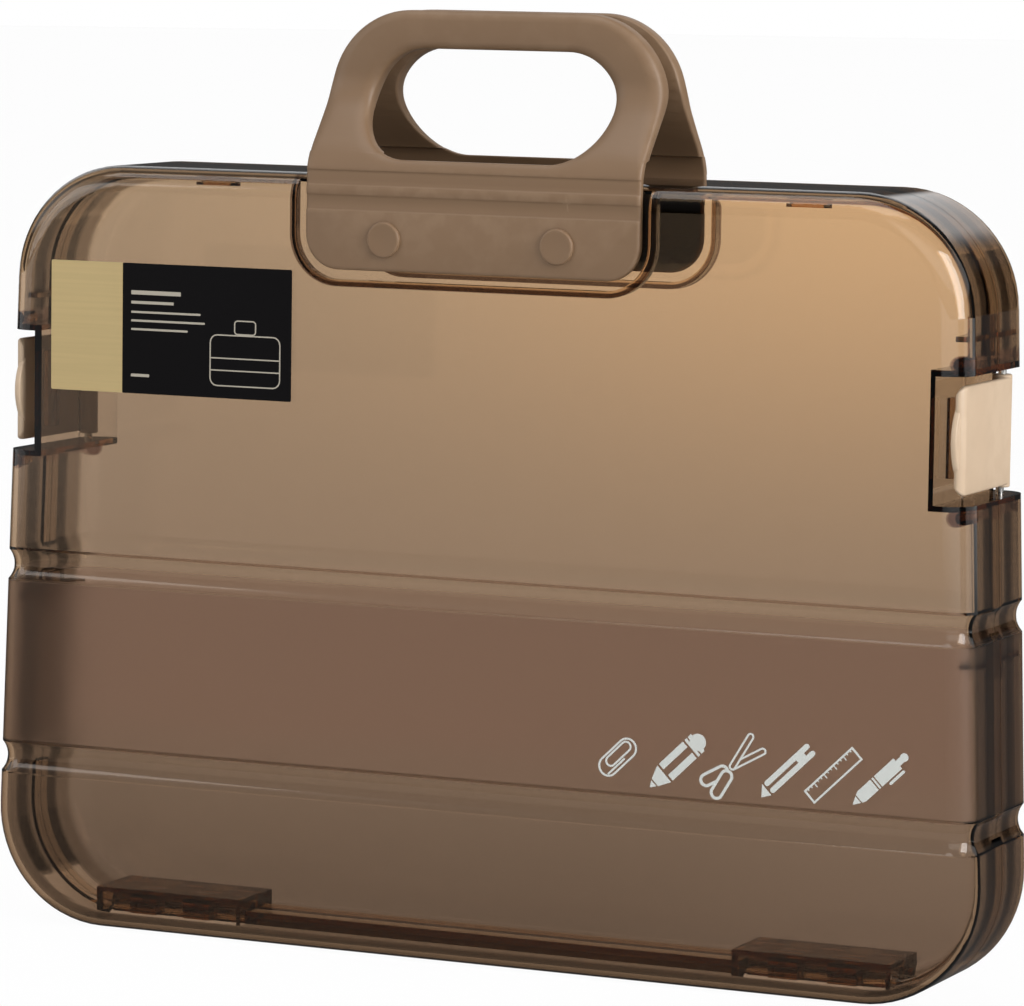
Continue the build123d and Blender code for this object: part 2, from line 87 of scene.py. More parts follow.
class Side(Enum):
    """The two halves of the case, with the sign of their outward direction along Y."""

    FRONT = -1
    REAR = 1

    @property
    def word(self) -> str:
        """The word that names this half in node and body names."""
        return self.name.lower()

    @property
    def body(self) -> str:
        """The CAD body of this half of the case."""
        return self.word + "_case"

    @property
    def grip_body(self) -> str:
        """The CAD body of this half's swinging grip."""
        return self.word + "_grip"

    def place(self, x: float, depth: float, z: float) -> Vector:
        """Point at a depth outward of the parting plane on this half."""
        return Vector((x, PARTING_Y + self.value * depth, z))


def ramp(value: float, softness: float) -> float:
    """Straight ramp from zero with a parabolic start.

    Args:
        value: Distance past the start of the ramp.
        softness: Half length of the parabolic stretch.

    Returns:
        Zero well before the start, and the value itself well after it.
    """
    if value <= -softness:
        return 0.0
    if value >= softness:
        return value
    return (value + softness) ** 2 / (4 * softness)


def smooth_between(low: float, high: float, value: float) -> float:
    """Smooth step from zero at low to one at high."""
    share = min(max((value - low) / (high - low), 0.0), 1.0)
    return share * share * (3 - 2 * share)


def scaled(colour: Colour, factor: float) -> Colour:
    """Colour made darker or paler by a factor."""
    return tuple(min(value * factor, 1.0) for value in colour)


class Shader:
    """A material or node group under construction, with short calls for its nodes and links."""

    def __init__(self, tree: Tree) -> None:
        """Starts from an emptied node tree."""
        self.tree = tree
        self.tree.nodes.clear()

    def node(self, kind: str, settings: dict[str, object] | None = None, **inputs: object) -> Node:
        """Adds one node.

        Args:
            kind: Blender's type name without the ShaderNode prefix.
            settings: Properties of the node, by name.
            **inputs: Sockets by name, with underscores for spaces, or by number as in i0.

        Returns:
            The new node.
        """
        made = self.tree.nodes.new("ShaderNode" + kind)
        for name, value in (settings or {}).items():
            setattr(made, name, value)
        for name, value in inputs.items():
            numbered = name[0] == "i" and name[1:].isdigit()
            key = int(name[1:]) if numbered else name.replace("_", " ")
            self.feed(made.inputs[key], value)
        return made

    def feed(self, socket: Socket, value: object) -> None:
        """Links or sets an input.

        Args:
            socket: The input.
            value: A socket to link it to, or its plain value.
        """
        if isinstance(value, Socket):
            self.tree.links.new(value, socket)
        elif isinstance(value, tuple) and socket.type == "RGBA":
            socket.default_value = (*value, 1.0)
        else:
            socket.default_value = value

    def math(self, operation: str, *values: object) -> Socket:
        """Result of a Math node on the given values."""
        inputs = {f"i{index}": value for index, value in enumerate(values)}
        return self.node("Math", {"operation": operation}, **inputs).outputs[0]

    def product(self, *values: object) -> Socket:
        """Product of two or more values."""
        return reduce(lambda first, second: self.math("MULTIPLY", first, second), values)

    def offset(self, value: Socket, origin: float) -> Socket:
        """Distance of a value from an origin."""
        return self.math("ABSOLUTE", self.math("SUBTRACT", value, origin))

    def hypotenuse(self, first: Socket, second: Socket) -> Socket:
        """Root of the sum of two squares."""
        squares = [self.product(leg, leg) for leg in (first, second)]
        return self.math("SQRT", self.math("ADD", *squares))

    def mix(self, factor: Socket, first: object, second: object) -> Socket:
        """Colour that is the first one at factor zero and the second one at factor one."""
        return self.node("Mix", {"data_type": "RGBA"}, i0=factor, i6=first, i7=second).outputs[2]

    def span(self, value: Socket, low: float, high: float, start: float = 0.0,
             end: float = 1.0) -> Socket:
        """Carries a value smoothly from start at low to end at high. Low may be the larger one."""
        return self.node("MapRange", {"interpolation_type": "SMOOTHSTEP"}, i0=value, i1=low,
                         i2=high, i3=start, i4=end).outputs[0]

    def window(self, value: Socket, limits: Span, edge: float) -> Socket:
        """Mask that is one between two limits, with soft edges of a given half width."""
        low, high = limits
        return self.product(self.span(value, low - edge, low + edge),
                            self.span(value, high + edge, high - edge))

    def place(self) -> Socket:
        """Object coordinates of the shaded point, in metres."""
        return self.node("TexCoord").outputs["Object"]

    def noise(self, scale: object, detail: float, stretch: Point = (1.0, 1.0, 1.0),
              turn: Point = (0.0, 0.0, 0.0), **shape: float) -> Socket:
        """Noise over the surface: cells per metre, octaves, and how its space is laid."""
        vector = self.node("Mapping", Vector=self.place(), Rotation=turn, Scale=stretch).outputs[0]
        return self.node("TexNoise", Vector=vector, Scale=scale, Detail=detail, **shape).outputs[0]

    def group(self, tree: Tree, **inputs: float) -> Sockets:
        """Places a node group with its own values and gives its outputs."""
        return self.node("Group", {"node_tree": tree}, **inputs).outputs


@dataclass
class EffectGroups:
    """Node groups for the effects that several finishes share, each built once."""

    worn_noise: Limits = (0.35, 0.65, 0.3, 1.0)
    worn_levels: Span = (0.05, 0.9)
    mottle_levels: Span = (0.3, 0.7)
    scratch_turns: Span = (0.5, 1.9)
    scratch_stretch: Point = (1.0, 1.0, 26.0)
    scratch_levels: Span = (0.71, 0.76)
    smudge_levels: Span = (0.45, 0.75)
    edge_wear: Tree = field(init=False)
    moulded_grain: Tree = field(init=False)
    handling_marks: Tree = field(init=False)

    def __post_init__(self) -> None:
        """Builds every group."""
        self.edge_wear = self._edge_wear()
        self.moulded_grain = self._moulded_grain()
        self.handling_marks = self._handling_marks()

    @staticmethod
    def _start(name: str, inputs: dict[str, float],
               outputs: Sequence[str]) -> tuple[Shader, Sockets, Sockets]:
        """Opens a new group.

        Args:
            name: Name of the group.
            inputs: Value sockets and what they start at.
            outputs: Value sockets that the group puts out.

        Returns:
            The shader under construction, the values given to it and the results it puts out.
        """
        tree = bpy.data.node_groups.new(name, "ShaderNodeTree")
        for label, start in inputs.items():
            socket = tree.interface.new_socket(label, in_out="INPUT", socket_type="NodeSocketFloat")
            socket.default_value = start
        for label in outputs:
            tree.interface.new_socket(label, in_out="OUTPUT", socket_type="NodeSocketFloat")
        shader = Shader(tree)
        entry = tree.nodes.new("NodeGroupInput")
        result = tree.nodes.new("NodeGroupOutput")
        return shader, entry.outputs, result.inputs

    def _edge_wear(self) -> Tree:
        """Mask of the raised edges, broken up by noise.

        Returns:
            The group.
        """
        shader, given, result = self._start(
            "edge_wear", {"Width": 0.06, "Break Up": 180.0}, ("Mask",))
        raised = shader.math("SUBTRACT", shader.node("NewGeometry").outputs["Pointiness"], 0.5)
        share = shader.math("DIVIDE", raised, given["Width"])
        broken = shader.span(shader.noise(given["Break Up"], 3.0), *self.worn_noise)
        shader.feed(result["Mask"], shader.span(shader.product(share, broken), *self.worn_levels))
        return shader.tree

    def _moulded_grain(self) -> Tree:
        """Height and tone of a fine spark-eroded moulding texture.

        Returns:
            The group.
        """
        shader, given, result = self._start(
            "moulded_grain", {"Scale": 2500.0, "Mottle Scale": 60.0}, ("Height", "Mottle"))
        shader.feed(result["Height"], shader.noise(given["Scale"], 4.0, Roughness=0.6))
        broad = shader.noise(given["Mottle Scale"], 3.0)
        shader.feed(result["Mottle"], shader.span(broad, *self.mottle_levels))
        return shader.tree

    def _handling_marks(self) -> Tree:
        """Hairline scratches and faint smudges of a handled glossy surface.

        Returns:
            The group.
        """
        shader, given, result = self._start(
            "handling_marks", {"Scratch Scale": 90.0, "Smudge Scale": 14.0},
            ("Scratches", "Smudges"))
        scratches = [shader.noise(given["Scratch Scale"], 1.0, self.scratch_stretch,
                                  (0.2, turn, 0.4)) for turn in self.scratch_turns]
        masks = [shader.span(lines, *self.scratch_levels) for lines in scratches]
        shader.feed(result["Scratches"], shader.math("MAXIMUM", *masks))
        smudges = shader.noise(given["Smudge Scale"], 5.0, Distortion=0.8)
        shader.feed(result["Smudges"], shader.span(smudges, *self.smudge_levels))
        return shader.tree


def new_material(name: str) -> tuple[Material, Shader]:
    """Makes an empty node material.

    Args:
        name: Name of the material.

    Returns:
        The material and the shader that fills it.
    """
    material = bpy.data.materials.new(name)
    material.use_nodes = True
    return material, Shader(material.node_tree)


@dataclass(frozen=True)
class ClearPlastic:
    """Transparent brown plastic with a satin band, its colour changing over the shell.

    It is painted greyer on the left and below and warmer and paler on the right and above: painted
    light and shade, partly also a real smoky darkening of the plastic towards the bottom. The outer
    end walls, the underside and a line round each handle's seat carry painted shade, the hinge
    knuckles are painted paler, and the latch bosses are dark.
    """

    low_left: Colour = (0.44, 0.407, 0.40)
    low_right: Colour = (0.475, 0.438, 0.433)
    low_turn: Span = (20 * MM, 140 * MM)
    low_heights: Span = (0.0, 120 * MM)
    middle: Colour = (0.64, 0.61, 0.605)
    high_left: Colour = (0.79, 0.76, 0.73)
    high_right: Colour = (1.0, 0.905, 0.785)
    high_turn: Span = (-150 * MM, 130 * MM)
    high_heights: Span = (90 * MM, 268 * MM)
    edge: float = 0.5 * MM
    band: Span = (58.1 * MM, 110.4 * MM)
    band_tint: Colour = (0.57, 0.503, 0.498)
    band_roughness: float = 0.30
    side_tint: Colour = (0.33, 0.30, 0.285)
    stripe: Span = (6.0 * MM, 12.5 * MM)
    stripe_tint: Colour = (0.05, 0.045, 0.043)
    end_walls: Span = (152.5 * MM, 153.0 * MM)
    shell_middle: float = 121.5 * MM
    level_walls: Span = (102 * MM, 107 * MM)
    steep_walls: Span = (0.5, 0.1)
    latch_recess: Span = (16 * MM, 17 * MM)
    hinge_heights: Span = (12.5 * MM, 13.5 * MM)
    hinge_depths: Span = (12.0 * MM, 12.5 * MM)
    hinge_tint: Colour = (0.94, 0.90, 0.88)
    seat_corner: Span = (45.0 * MM, 224.7 * MM)
    seat_line: Span = (14.7 * MM, 16.1 * MM)
    seat_edge: float = 0.1 * MM
    seat_tint: Colour = (0.13, 0.09, 0.075)
    under_slopes: Span = (-0.15, -0.75)
    under_heights: Span = (9 * MM, 8 * MM)
    under_tint: Colour = (0.10, 0.085, 0.075)
    boss_place: Span = (158.0 * MM, 22.6 * MM)
    boss_edge: Span = (2.9 * MM, 2.3 * MM)
    boss_tint: Colour = (0.20, 0.13, 0.12)
    grazing: Limits = (0.25, 1.0, 0.0, 0.85)
    grazing_tint: Colour = (0.15, 0.12, 0.10)
    smudge_scale: float = 14.0
    smudges: Limits = (0.4, 0.8, 0.015, 0.045)
    absorbed: Colour = (0.79, 0.625, 0.40)
    density: float = 430.0

    def tint(self, shader: Shader, place: Sockets, band: Socket) -> Socket:
        """Colour of the surface as seen straight on: the plastic's colour with painted light and
        shade laid over it.

        Args:
            shader: The material under construction.
            place: Coordinates of the shaded point, by axis.
            band: Mask of the satin band.

        Returns:
            The colour.
        """
        across, height = place["X"], place["Z"]
        half_x = shader.math("ABSOLUTE", across)
        depth = shader.offset(place["Y"], PARTING_Y)
        from_latch = shader.offset(height, LATCH_HEIGHT)
        normal = shader.node("TexCoord").outputs["Normal"]
        facing = shader.node("SeparateXYZ", Vector=normal).outputs
        # Painted shade: greyer and darker on the left and low down; the darkening towards the bottom
        # is partly real in the plastic too.
        low = shader.mix(shader.span(across, *self.low_turn), self.low_left, self.low_right)
        low = shader.mix(shader.span(height, *self.low_heights), low, self.middle)
        # Painted light: paler and warmer towards the upper right, where the lamps fall.
        high = shader.mix(shader.span(across, *self.high_turn), self.high_left, self.high_right)
        tint = shader.mix(shader.span(height, *self.high_heights), low, high)
        tint = shader.mix(band, tint, self.band_tint)
        past_hinge = shader.span(depth, *self.hinge_depths)
        off_hinge = shader.math("MAXIMUM", shader.span(height, *self.hinge_heights), past_hinge)
        from_middle = shader.offset(height, self.shell_middle)
        outer = shader.math("MAXIMUM", shader.span(half_x, *self.end_walls),
                            shader.span(from_middle, *self.level_walls))
        steep = shader.span(shader.math("ABSOLUTE", facing["Y"]), *self.steep_walls)
        # Painted shade on the steep outer walls, with a painted near-black band along them at the set
        # depths.
        skin = shader.product(outer, shader.span(from_latch, *self.latch_recess), off_hinge, steep)
        stripe = shader.window(depth, self.stripe, self.edge)
        tint = shader.mix(skin, tint, shader.mix(stripe, self.side_tint, self.stripe_tint))
        # Painted light: the hinge knuckles are made paler than the rest of the plastic.
        tint = shader.mix(off_hinge, self.hinge_tint, tint)
        # Painted shade: a dark line round each handle's seat.
        beside = shader.math("MAXIMUM", shader.math("SUBTRACT", half_x, self.seat_corner[0]), 0.0)
        below = shader.math("MAXIMUM", shader.math("SUBTRACT", self.seat_corner[1], height), 0.0)
        seat = shader.window(shader.hypotenuse(beside, below), self.seat_line, self.seat_edge)
        # Painted shade on the downward-facing surfaces near the bottom.
        under = shader.product(shader.span(facing["Z"], *self.under_slopes), past_hinge,
                               shader.span(height, *self.under_heights))
        from_boss = shader.hypotenuse(shader.math("SUBTRACT", half_x, self.boss_place[0]),
                                      shader.math("SUBTRACT", from_latch, self.boss_place[1]))
        boss = shader.span(from_boss, *self.boss_edge)
        for mask, colour in ((seat, self.seat_tint), (under, self.under_tint),
                             (boss, self.boss_tint)):
            tint = shader.mix(mask, tint, colour)
        return tint

    def build(self, name: str) -> Material:
        """Makes the material.

        Args:
            name: Name of the material.

        Returns:
            The finished material.
        """
        material, shader = new_material(name)
        place = shader.node("SeparateXYZ", Vector=shader.place()).outputs
        band = shader.window(place["Z"], self.band, self.edge)
        tint = self.tint(shader, place, band)
        # Darker where the surface turns away from the view: partly the longer path through the
        # plastic, partly painted shade for the dark edges.
        turned_away = shader.node("LayerWeight", Blend=0.5).outputs["Facing"]
        tint = shader.mix(shader.span(turned_away, *self.grazing), tint, self.grazing_tint)
        polished = shader.span(shader.noise(self.smudge_scale, 1.0), *self.smudges)
        rough = shader.math("MULTIPLY_ADD", band, self.band_roughness, polished)
        surface = shader.node("BsdfPrincipled", Base_Color=tint, Roughness=rough, IOR=1.49,
                              Transmission_Weight=1.0)
        volume = shader.node("VolumeAbsorption", Color=self.absorbed, Density=self.density)
        shader.node("OutputMaterial", Surface=surface.outputs[0], Volume=volume.outputs[0])
        return material


@dataclass(frozen=True)
class MouldedPlastic:
    """Opaque plastic from a textured mould, a little paler on worn edges."""

    colour: Colour
    worn: Colour
    roughness: float = 0.5
    grain_scale: float = 2600.0
    grain_depth: float = 0.02 * MM
    grain_strength: float = 0.25
    mottle: float = 0.06
    mottle_scale: float = 45.0
    wear: float = 0.25
    scratch_height: float = 0.5
    smudge_shine: float = -0.07

    def build(self, name: str, effects: EffectGroups) -> Material:
        """Makes the material.

        Args:
            name: Name of the material.
            effects: The shared node groups.

        Returns:
            The finished material.
        """
        material, shader = new_material(name)
        grain = shader.group(effects.moulded_grain, Scale=self.grain_scale,
                             Mottle_Scale=self.mottle_scale)
        wear = shader.group(effects.edge_wear, Width=0.05, Break_Up=160.0)
        marks = shader.group(effects.handling_marks, Scratch_Scale=110.0, Smudge_Scale=22.0)
        colour = shader.mix(grain["Mottle"], scaled(self.colour, 1 - self.mottle), self.colour)
        colour = shader.mix(shader.product(wear["Mask"], self.wear), colour, self.worn)
        rough = shader.math("MULTIPLY_ADD", marks["Smudges"], self.smudge_shine, self.roughness)
        relief = shader.math("MULTIPLY_ADD", marks["Scratches"], self.scratch_height, grain["Height"])
        bump = shader.node("Bump", Height=relief, Strength=self.grain_strength,
                           Distance=self.grain_depth)
        surface = shader.node("BsdfPrincipled", Base_Color=colour, Roughness=rough, IOR=1.5,
                              Normal=bump.outputs[0])
        shader.node("OutputMaterial", Surface=surface.outputs[0])
        return material


@dataclass(frozen=True)
class DrawnWire:
    """Metal wire with fine drawing lines along its length."""

    colour: Colour = (0.55, 0.54, 0.52)
    dulled: float = 0.7
    rough_lines: Limits = (0.3, 0.7, 0.20, 0.38)
    line_scale: float = 1500.0
    line_stretch: Point = (0.05, 1.0, 1.0)
    line_depth: float = 0.02 * MM

    def build(self, name: str, effects: EffectGroups) -> Material:
        """Makes the material.

        Args:
            name: Name of the material.
            effects: The shared node groups.

        Returns:
            The finished material.
        """
        material, shader = new_material(name)
        lines = shader.noise(self.line_scale, 2.0, self.line_stretch)
        marks = shader.group(effects.handling_marks, Scratch_Scale=200.0, Smudge_Scale=60.0)
        rough = shader.span(lines, *self.rough_lines)
        colour = shader.mix(marks["Smudges"], self.colour, scaled(self.colour, self.dulled))
        bump = shader.node("Bump", Height=lines, Strength=0.2, Distance=self.line_depth)
        surface = shader.node("BsdfPrincipled", Base_Color=colour, Roughness=rough, Metallic=1.0,
                              Normal=bump.outputs[0])
        shader.node("OutputMaterial", Surface=surface.outputs[0])
        return material


@dataclass(frozen=True)
class PrintedFilm:
    """Printed self-adhesive film: plain ink or a brushed metallic ground."""

    colour: Colour
    roughness: float
    metallic: float = 0.0
    brushed: float = 0.0
    specular: float = 0.5
    line_scale: float = 900.0
    line_stretch: Point = (0.02, 1.0, 1.0)
    line_depth: float = 0.02 * MM
    line_levels: Span = (0.3, 0.7)
    line_shades: Span = (-0.12, 0.10)
    scratch_depth: float = -0.4
    smudge_roughness: float = 0.08

    def build(self, name: str, effects: EffectGroups) -> Material:
        """Makes the material.

        Args:
            name: Name of the material.
            effects: The shared node groups.

        Returns:
            The finished material.
        """
        material, shader = new_material(name)
        lines = shader.noise(self.line_scale, 3.0, self.line_stretch)
        marks = shader.group(effects.handling_marks, Scratch_Scale=120.0, Smudge_Scale=30.0)
        shades = [scaled(self.colour, 1 + change * self.brushed) for change in self.line_shades]
        colour = shader.mix(shader.span(lines, *self.line_levels), *shades)
        rough = shader.span(marks["Smudges"], 0.0, 1.0, self.roughness,
                            self.roughness + self.smudge_roughness)
        relief = shader.math("MULTIPLY_ADD", marks["Scratches"], self.scratch_depth,
                             shader.product(lines, self.brushed))
        bump = shader.node("Bump", Height=relief, Strength=0.15, Distance=self.line_depth)
        surface = shader.node("BsdfPrincipled", Base_Color=colour, Roughness=rough,
                              Metallic=self.metallic, Specular_IOR_Level=self.specular,
                              Normal=bump.outputs[0])
        shader.node("OutputMaterial", Surface=surface.outputs[0])
        return material


class Palette:
    """Every finish of the case, built once."""

    def __init__(self) -> None:
        """Builds the shared effects and the materials."""
        effects = EffectGroups()
        self.shell = ClearPlastic().build("clear_brown_plastic")
        self.handle = MouldedPlastic((0.205, 0.122, 0.065), (0.36, 0.25, 0.16), mottle=0.02).build(
            "taupe_handle_plastic", effects)
        self.latch = MouldedPlastic((0.535, 0.396, 0.272), (0.66, 0.52, 0.38), roughness=0.42,
                                    grain_strength=0.12).build("cream_latch_plastic", effects)
        self.wire = DrawnWire().build("drawn_wire", effects)
        self.gold = PrintedFilm((0.57, 0.43, 0.205), 0.38, metallic=0.25, brushed=0.25).build(
            "gold_film", effects)
        self.black = PrintedFilm((0.006, 0.0055, 0.006), 0.4, specular=0.06).build(
            "black_film", effects)
        self.ink = PrintedFilm((0.60, 0.62, 0.59), 0.45).build("pale_screen_print", effects)
        self.fine_print = PrintedFilm((0.42, 0.38, 0.31), 0.4).build("fine_print", effects)


def mesh_object(name: str, draft: Draft, material: Material, sharp_angle: float = 35.0) -> Piece:
    """Turns a finished mesh draft into an object in the scene.

    Args:
        name: Name of the piece.
        draft: The mesh, freed afterwards.
        material: Its finish.
        sharp_angle: Edges steeper than this, in degrees, stay sharp.

    Returns:
        The new object.
    """
    bmesh.ops.remove_doubles(draft, verts=draft.verts, dist=MERGE)
    bmesh.ops.dissolve_degenerate(draft, dist=MERGE, edges=draft.edges)
    bmesh.ops.recalc_face_normals(draft, faces=draft.faces)
    mesh = bpy.data.meshes.new(name)
    draft.to_mesh(mesh)
    draft.free()
    mesh.materials.append(material)
    mesh.shade_smooth()
    mesh.set_sharp_from_angle(angle=math.radians(sharp_angle))
    made = bpy.data.objects.new(name, mesh)
    bpy.context.scene.collection.objects.link(made)
    return made


def skin(draft: Draft, first: Ring, second: Ring) -> None:
    """Joins two rings by a band of faces.

    Args:
        draft: The mesh to add to.
        first: One ring, or a single vertex that the band closes on.
        second: The other one, with as many vertices or a single one.
    """
    for index in range(max(len(first), len(second))):
        corners = [first[index % len(first)], first[(index + 1) % len(first)],
                   second[(index + 1) % len(second)], second[index % len(second)]]
        draft.faces.new(list(dict.fromkeys(corners)))


def closed_body(draft: Draft, rings: list[Ring]) -> None:
    """Closes a row of rings into a body.

    Args:
        draft: The mesh to add to.
        rings: Rings with equal counts. The first and the last one are capped.
    """
    for first, second in zip(rings, rings[1:]):
        skin(draft, first, second)
    draft.faces.new(rings[0])
    draft.faces.new(rings[-1])


@dataclass(frozen=True)
class EdgePoint:
    """A point of a flat outline and the direction out of the material there."""

    x: float
    z: float
    out_x: float
    out_z: float


def rounded_outline(half_width: float, low: float, high: float, low_radius: float,
                    high_radius: float, step: float) -> list[EdgePoint]:
    """Rounded rectangle, anticlockwise from its right side.

    Args:
        half_width: Half its width along X.
        low: Height of its lower side.
        high: Height of its upper side.
        low_radius: Radius of the two lower corners.
        high_radius: Radius of the two upper corners.
        step: Spacing of the points.

    Returns:
        The points with their outward directions.
    """
    corners = (
        (half_width - high_radius, high - high_radius, high_radius),
        (high_radius - half_width, high - high_radius, high_radius),
        (low_radius - half_width, low + low_radius, low_radius),
        (half_width - low_radius, low + low_radius, low_radius),
    )
    points: list[EdgePoint] = []
    for corner, (centre_x, centre_z, radius) in enumerate(corners):
        count = max(4, round(QUARTER * radius / step))
        for index in range(count + 1):
            angle = QUARTER * (corner + index / count)
            out = (math.cos(angle), math.sin(angle))
            points.append(EdgePoint(centre_x + radius * out[0], centre_z + radius * out[1], *out))
    full: list[EdgePoint] = []
    for here, there in zip(points, points[1:] + points[:1]):
        full.append(here)
        gap = math.hypot(there.x - here.x, there.z - here.z)
        if gap > 1.8 * step:
            count = round(gap / step)
            for index in range(1, count):
                share = index / count
                full.append(EdgePoint(here.x + share * (there.x - here.x),
                                      here.z + share * (there.z - here.z), here.out_x, here.out_z))
    return full


def fill_between(draft: Draft, outer: Ring, hole: Ring) -> None:
    """Fills the flat area between a convex outline and a convex hole in it.

    Args:
        draft: The mesh to add the faces to.
        outer: Vertices of the outline, in order.
        hole: Vertices of the hole, in order.
    """
    corners = outer + hole
    edges: list[tuple[int, int]] = []
    for first, count in ((0, len(outer)), (len(outer), len(hole))):
        edges += [(first + index, first + (index + 1) % count) for index in range(count)]
    flat = [vertex.co.xy for vertex in corners]
    _, _, triangles, origins, _, _ = delaunay_2d_cdt(flat, edges, [], 1, 1e-9)
    for triangle in triangles:
        chosen = [origins[index][0] for index in triangle]
        if min(chosen) < len(outer):
            draft.faces.new([corners[index] for index in chosen])


@dataclass
class Handle:
    """A one-piece moulded handle: riveted plate, grooved bend and finger loop."""

    side: Side
    plate_corner: float = 11 * MM
    grip_corner: float = 27 * MM
    slot_half_width: float = 41 * MM
    slot_low: float = 247.9 * MM
    slot_high: float = 281.7 * MM
    plate_outer: float = 26.7 * MM
    plate_inner: float = 24.0 * MM
    grip_outer: float = 11.0 * MM
    grip_inner: float = 4.0 * MM
    bend_low: float = 247.5 * MM
    bend_high: float = 268.5 * MM
    bend_softness: float = 5.5 * MM
    ledge: float = 250.0 * MM
    ledge_step: float = 1.8 * MM
    channels: tuple[Span, ...] = ((232.1 * MM, 236.7 * MM), (239.8 * MM, 244.3 * MM))
    channel_depth: float = 0.45 * MM
    channel_edge: float = 0.35 * MM
    step: float = 1.5 * MM
    plate_round: float = 1.2 * MM
    grip_round: float = 5.0 * MM
    top_round: float = 3.0 * MM
    round_growth: Span = (244 * MM, 262 * MM)
    top_start: float = 270 * MM
    slot_round: float = 2.4 * MM
    slot_end_round: float = 2.0 * MM
    front_steps: int = 5
    front_drop: float = 0.34
    back_steps: int = 3
    back_round: float = 0.7 * MM
    back_drop: float = 0.86
    cut_below: float = 6 * MM
    cut_step: float = 1 * MM
    cut_count: int = 36
    hinge_reach: float = 4.5 * MM
    half_width: float = field(init=False)
    low: float = field(init=False)
    high: float = field(init=False)

    def __post_init__(self) -> None:
        """Takes the overall outline from the CAD nodes."""
        plate_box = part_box(self.side.word + "_handle_plate")
        grip_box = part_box(self.side.word + "_handle_grip")
        self.half_width = plate_box[1].x
        self.low = plate_box[0].z
        self.high = grip_box[1].z

    def lean(self, plate: float, grip: float, z: float) -> float:
        """Depth at a height of a surface that bends from its depth on the plate to the grip's."""
        low, high = (ramp(z - edge, self.bend_softness) for edge in (self.bend_low, self.bend_high))
        return plate - (plate - grip) * (low - high) / (self.bend_high - self.bend_low)

    def outer_depth(self, z: float) -> float:
        """Works out the depth of the outer surface.

        Args:
            z: The height.

        Returns:
            The depth outward of the parting plane.
        """
        depth = self.lean(self.plate_outer, self.grip_outer, z)
        for low, high in self.channels:
            inside = smooth_between(low - self.channel_edge, low + self.channel_edge, z)
            inside *= 1 - smooth_between(high - self.channel_edge, high + self.channel_edge, z)
            depth -= self.channel_depth * inside
        return depth

    def inner_depth(self, z: float) -> float:
        """Depth of the inner surface at a height."""
        step = self.ledge_step * smooth_between(self.ledge - self.channel_edge, self.ledge, z)
        return self.lean(self.plate_inner, self.grip_inner + self.ledge_step, z) - step

    def edge_rounding(self, point: EdgePoint) -> float:
        """Works out the rounding of the outer edge, widest at the sides of the grip.

        Args:
            point: A point of the outline.

        Returns:
            How far the rounding reaches inward there.
        """
        growth = smooth_between(*self.round_growth, point.z) * (self.grip_round - self.plate_round)
        loss = smooth_between(self.top_start, self.high, point.z) * (self.grip_round - self.top_round)
        return self.plate_round + growth - loss

    def slot_rounding(self, point: EdgePoint) -> float:
        """How far the rounded edge of the finger slot reaches into the grip."""
        return self.slot_round + self.slot_end_round * abs(point.out_x)

    def _wall(self, draft: Draft, outline: list[EdgePoint], rounding: Callable[[EdgePoint], float],
              direction: float) -> tuple[Ring, Ring]:
        """Builds the wall between the outer and inner faces along one outline.

        Args:
            draft: The mesh to add to, in flat coordinates: x, height and share of the thickness.
            outline: The outline.
            rounding: Reach of the rounded outer edge at a point.
            direction: 1 where the material lies inside the outline, -1 where it lies outside.

        Returns:
            The vertices of the first and last ring.
        """
        profile: list[Point] = []
        for index in range(self.front_steps + 1):
            angle = QUARTER * index / self.front_steps
            profile.append((1 - math.sin(angle), 0.0, self.front_drop * (1 - math.cos(angle))))
        for index in range(self.back_steps + 1):
            angle = QUARTER * index / self.back_steps
            level = self.back_drop + (1 - self.back_drop) * math.sin(angle)
            profile.append((0.0, 1 - math.cos(angle), level))
        rings = []
        for outer_share, inner_share, level in profile:
            ring = []
            for point in outline:
                inset = outer_share * rounding(point) + inner_share * self.back_round
                inset *= direction
                ring.append(draft.verts.new((point.x - inset * point.out_x,
                                             point.z - inset * point.out_z, level)))
            rings.append(ring)
        for first, second in zip(rings, rings[1:]):
            skin(draft, first, second)
        return rings[0], rings[-1]

    def cut_heights(self) -> list[float]:
        """Finds the heights at which faces are divided, so that bends and channels are smooth.

        Returns:
            The heights, from the lowest up.
        """
        start = self.bend_low - self.cut_below
        heights = [start + index * self.cut_step for index in range(self.cut_count)]
        for edge in (edge for channel in self.channels for edge in channel):
            heights += [edge + share * self.channel_edge for share in (-1.0, -0.5, 0.0, 0.5, 1.0)]
        heights += [self.ledge - share * self.channel_edge for share in (0.0, 0.5, 1.0)]
        return sorted(set(round(height, 6) for height in heights))

    def build(self, palette: Palette) -> Piece:
        """Builds the handle, bent from the plate up to the grip, and dresses it.

        Args:
            palette: The finishes.

        Returns:
            The finished piece.
        """
        draft = bmesh.new()
        outline = rounded_outline(self.half_width, self.low, self.high, self.plate_corner,
                                  self.grip_corner, self.step)
        slot_radius = (self.slot_high - self.slot_low) / 2
        slot = rounded_outline(self.slot_half_width, self.slot_low, self.slot_high, slot_radius,
                               slot_radius, self.step)
        outer_ends = self._wall(draft, outline, self.edge_rounding, 1.0)
        slot_ends = self._wall(draft, slot, self.slot_rounding, -1.0)
        for outer_ring, slot_ring in zip(outer_ends, slot_ends):
            fill_between(draft, outer_ring, slot_ring)
        for height in self.cut_heights():
            geometry = draft.verts[:] + draft.edges[:] + draft.faces[:]
            bmesh.ops.bisect_plane(draft, geom=geometry, dist=1e-7, plane_co=(0, height, 0),
                                   plane_no=(0, 1, 0))
        for vertex in draft.verts:
            x, z, level = vertex.co
            outer = self.outer_depth(z)
            vertex.co = self.side.place(x, outer + (self.inner_depth(z) - outer) * level, z)
        word = self.side.word
        made = mesh_object(word + "_handle", draft, palette.handle, 40)
        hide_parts(word + "_handle_plate", word + "_handle_grip")
        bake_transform(made)
        return made


